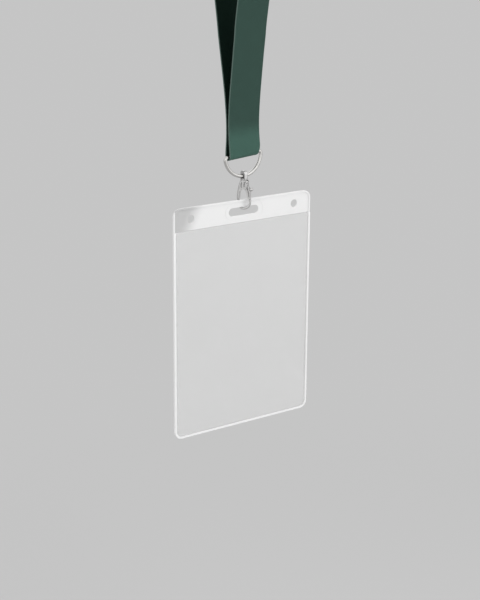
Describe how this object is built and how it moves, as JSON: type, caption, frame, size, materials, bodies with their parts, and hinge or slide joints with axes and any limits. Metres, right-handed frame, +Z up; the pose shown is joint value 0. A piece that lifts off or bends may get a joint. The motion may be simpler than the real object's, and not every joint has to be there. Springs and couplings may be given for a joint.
{
  "type": "vertical badge wallet on a neck lanyard",
  "caption": "Tall clear card holder with a slotted header, hung by a swivel snap hook and a D-ring from a flat woven neck ribbon.",
  "frame": {"origin": "Inside of the ribbon loop at its top middle, where a neck or a peg carries the part.", "axes": "+Z up, against the hang. +X to the right of someone who looks at the front. The front faces -Y."},
  "size_m": [0.113, 0.121, 0.6016],
  "materials": {
    "ribbon": "plain woven polyester, matte",
    "ring_metal": "polished nickel plate",
    "hook_metal": "tumbled die casting with nickel plate",
    "spring_steel": "bright drawn wire",
    "clear_vinyl": "clear vinyl with a faint haze",
    "card": "plain pale card"
  },
  "bodies": {
    "lanyard": {"lanyard_ribbon": "ribbon", "lanyard_lap": "ribbon"},
    "ring": {"d_ring": "ring_metal"},
    "eye": {"swivel_eye": "hook_metal"},
    "hook": {"hook_body": "hook_metal", "gate_pin": "hook_metal"},
    "gate": {"gate_lever": "hook_metal", "gate_spring": "spring_steel"},
    "holder": {"back_sheet": "clear_vinyl", "header_panel": "clear_vinyl", "front_window": "clear_vinyl"},
    "card": {"insert_card": "card"}
  },
  "joints": [
    {"name": "ring_swing", "type": "hinge", "parent": "lanyard", "child": "ring", "pos_m": [-0.00095, 0, -0.41], "axis": [0.9969, 0, 0.0785], "range_deg": [-60, 60]},
    {"name": "eye_swing", "type": "hinge", "parent": "ring", "child": "eye", "pos_m": [0, 0, -0.4246], "axis": [1, 0, 0], "range_deg": [-45, 45]},
    {"name": "hook_swivel", "type": "hinge", "parent": "eye", "child": "hook", "pos_m": [0, 0, -0.42825], "axis": [0, 0, 1], "continuous": true},
    {"name": "gate_swing", "type": "hinge", "parent": "hook", "child": "gate", "pos_m": [0.00156, -0.00156, -0.42855], "axis": [0.7071, 0.7071, 0], "range_deg": [0, 18], "stiffness_Nm_per_rad": 0.002, "springref_deg": -17.19},
    {"name": "badge_sway", "type": "hinge", "parent": "hook", "child": "holder", "pos_m": [0, 0, -0.4468], "axis": [0, 1, 0], "range_deg": [-9, 9]},
    {"name": "card_slide", "type": "slide", "parent": "holder", "child": "card", "axis": [0, 0, 1], "range_m": [0, 0.008]}
  ]
}
